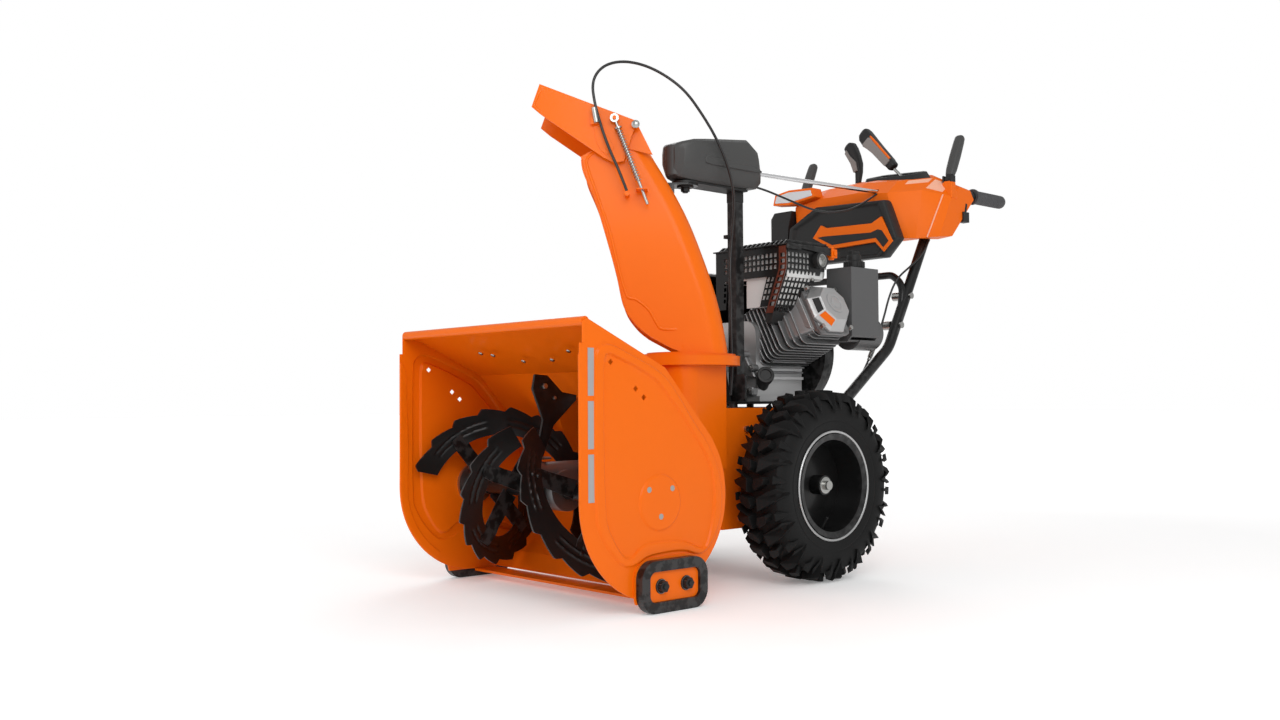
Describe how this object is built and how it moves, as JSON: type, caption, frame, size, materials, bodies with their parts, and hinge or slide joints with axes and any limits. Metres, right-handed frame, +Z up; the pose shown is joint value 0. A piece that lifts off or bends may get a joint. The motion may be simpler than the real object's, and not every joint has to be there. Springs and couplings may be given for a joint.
{
  "type": "two-stage snow blower",
  "caption": "Walk-behind two-stage snow blower with a wide auger housing, turning discharge chute, engine, treaded wheels and a dashboard with levers.",
  "frame": {"origin": "centre of the footprint of the whole machine, on the ground", "axes": "+Z up, +Y from the auger housing at the front to the handle grips at the back, +X towards the operator's left"},
  "size_m": [0.662, 1.498, 1.1196],
  "materials": {
    "orange_paint": "gloss powder coat",
    "black_paint": "satin powder coat",
    "dark_plastic": "fine texture",
    "grey_plastic": "satin",
    "orange_plastic": "satin",
    "reflective_tape": "retroreflective",
    "zinc_steel": "zinc plated",
    "cast_alloy": "as cast",
    "bright_alloy": "machined",
    "dark_iron": "painted black",
    "rod_chrome": "polished",
    "tyre_rubber": "new rubber",
    "grip_rubber": "ribbed",
    "belt_rubber": "V-belt",
    "cable_sheath": "smooth",
    "lens_clear": "frosted lens"
  },
  "bodies": {
    "chassis": {"housing_shell": "orange_paint", "side_plate_left": "orange_paint", "side_plate_right": "orange_paint", "scraper_bar": "orange_paint", "reflector_strips": "reflective_tape", "skid_shoes": "black_paint", "skid_brackets": "orange_paint", "fasteners": "zinc_steel", "impeller_drum": "orange_paint", "chute_ring": "orange_paint", "shaft_bearings": "zinc_steel", "auger_gearbox": "cast_alloy", "drive_belt": "belt_rubber", "belt_cover": "dark_plastic", "tractor_frame": "orange_paint", "engine_deck": "black_paint", "transaxle_case": "black_paint", "chute_post": "black_paint", "gear_head_case": "dark_plastic", "gear_head_cover": "grey_plastic", "engine_block": "bright_alloy", "engine_cylinder": "cast_alloy", "rocker_cover": "bright_alloy", "muffler": "zinc_steel", "muffler_guard": "black_paint", "fuel_tank": "dark_plastic", "engine_shroud": "black_paint", "handlebars": "black_paint", "handle_grips": "grip_rubber", "dash_body": "orange_plastic", "dash_panels": "dark_plastic", "headlight_lens": "lens_clear", "control_cables": "cable_sheath", "deflector_cable": "cable_sheath"},
    "wheel_left": {"axle_left": "zinc_steel", "rim_left": "black_paint", "tyre_left": "tyre_rubber"},
    "wheel_right": {"axle_right": "zinc_steel", "rim_right": "black_paint", "tyre_right": "tyre_rubber"},
    "impeller_group": {"impeller": "black_paint", "impeller_shaft": "zinc_steel", "auger_pulley": "dark_iron"},
    "auger_group": {"auger_shaft": "zinc_steel", "auger_left": "black_paint", "auger_right": "black_paint"},
    "crank": {"crankshaft": "zinc_steel"},
    "chute_group": {"chute": "orange_paint", "chute_arm": "black_paint", "deflector_spring": "zinc_steel"},
    "deflector_group": {"deflector": "orange_paint"},
    "spring_rod_group": {"spring_rod": "zinc_steel"},
    "control_rod_group": {"chute_control_rod": "rod_chrome"},
    "chute_lever_group": {"chute_lever": "dark_plastic"},
    "speed_lever_group": {"speed_lever": "dark_plastic"},
    "clutch_left": {"clutch_lever_left": "grey_plastic"},
    "clutch_right": {"clutch_lever_right": "grey_plastic"},
    "idler_group": {"belt_idler": "zinc_steel"},
    "fuel_cap_group": {"fuel_cap": "dark_plastic"},
    "recoil_group": {"recoil_handle": "dark_plastic"}
  },
  "joints": [
    {"name": "wheel_left_spin", "type": "hinge", "parent": "chassis", "child": "wheel_left", "pos_m": [0, -0.059, 0.205], "axis": [1, 0, 0], "continuous": true},
    {"name": "wheel_right_spin", "type": "hinge", "parent": "chassis", "child": "wheel_right", "pos_m": [0, -0.059, 0.205], "axis": [1, 0, 0], "continuous": true},
    {"name": "impeller_spin", "type": "hinge", "parent": "chassis", "child": "impeller_group", "pos_m": [0, -0.259, 0.244], "axis": [0, 1, 0], "continuous": true},
    {"name": "auger_spin", "type": "hinge", "parent": "chassis", "child": "auger_group", "pos_m": [0, -0.559, 0.208], "axis": [1, 0, 0], "continuous": true},
    {"name": "crank_spin", "type": "hinge", "parent": "chassis", "child": "crank", "pos_m": [0.008, -0.059, 0.5], "axis": [0, 1, 0], "continuous": true},
    {"name": "chute_turn", "type": "hinge", "parent": "chassis", "child": "chute_group", "pos_m": [0.09, -0.276, 0.463], "axis": [0, 0, 1], "range_deg": [-57, 143], "deforming": ["deflector_cable"]},
    {"name": "deflector_tilt", "type": "hinge", "parent": "chute_group", "child": "deflector_group", "pos_m": [0.01839, -0.35279, 0.965], "axis": [0.7314, -0.682, 0], "range_deg": [0, 45], "stiffness_Nm_per_rad": 4, "springref_deg": -40.11, "deforming": ["deflector_spring"]},
    {"name": "spring_rod_pivot", "type": "hinge", "parent": "deflector_group", "child": "spring_rod_group", "pos_m": [0.06883, -0.45999, 0.978], "axis": [0.7314, -0.682, 0], "range_deg": [-42, 0]},
    {"name": "control_rod_turn", "type": "hinge", "parent": "chassis", "child": "control_rod_group", "pos_m": [0.09, -0.062, 0.909], "axis": [0.0497, 0.9987, 0.0089], "range_deg": [-16.2, 40.3]},
    {"name": "chute_lever_tilt", "type": "hinge", "parent": "control_rod_group", "child": "chute_lever_group", "pos_m": [0.118, 0.501, 0.914], "axis": [1, 0, 0], "range_deg": [0, 18]},
    {"name": "speed_lever_tilt", "type": "hinge", "parent": "chassis", "child": "speed_lever_group", "pos_m": [-0.072, 0.531, 0.93], "axis": [1, 0, 0], "range_deg": [-20, 25]},
    {"name": "clutch_left_squeeze", "type": "hinge", "parent": "chassis", "child": "clutch_left", "pos_m": [0.24, 0.507, 0.941], "axis": [1, 0, 0], "range_deg": [-50, 0], "stiffness_Nm_per_rad": 0.6, "springref_deg": 22.92},
    {"name": "clutch_right_squeeze", "type": "hinge", "parent": "chassis", "child": "clutch_right", "pos_m": [-0.24, 0.507, 0.941], "axis": [1, 0, 0], "range_deg": [-50, 0], "stiffness_Nm_per_rad": 0.6, "springref_deg": 22.92},
    {"name": "idler_swing", "type": "hinge", "parent": "chassis", "child": "idler_group", "pos_m": [-0.12373, -0.139, 0.2288], "axis": [0, 1, 0], "range_deg": [0, 2.4]},
    {"name": "fuel_cap_turn", "type": "hinge", "parent": "chassis", "child": "fuel_cap_group", "pos_m": [0.183, 0.191, 0.7], "axis": [0, 0, 1], "range_deg": [0, 270]},
    {"name": "recoil_pull", "type": "slide", "parent": "chassis", "child": "recoil_group", "axis": [-0.9654, 0, 0.2607], "range_m": [0, 0.3], "stiffness_N_per_m": 30, "springref_m": -0.25}
  ],
  "couplings": [
    {"joint": "auger_spin", "follows": "impeller_spin", "ratio": 0.1},
    {"joint": "spring_rod_pivot", "follows": "deflector_tilt", "ratio": -0.913},
    {"joint": "control_rod_turn", "follows": "chute_turn", "ratio": 0.28},
    {"joint": "chute_lever_tilt", "follows": "deflector_tilt", "ratio": 0.4},
    {"joint": "idler_swing", "follows": "clutch_right_squeeze", "ratio": -0.045}
  ]
}
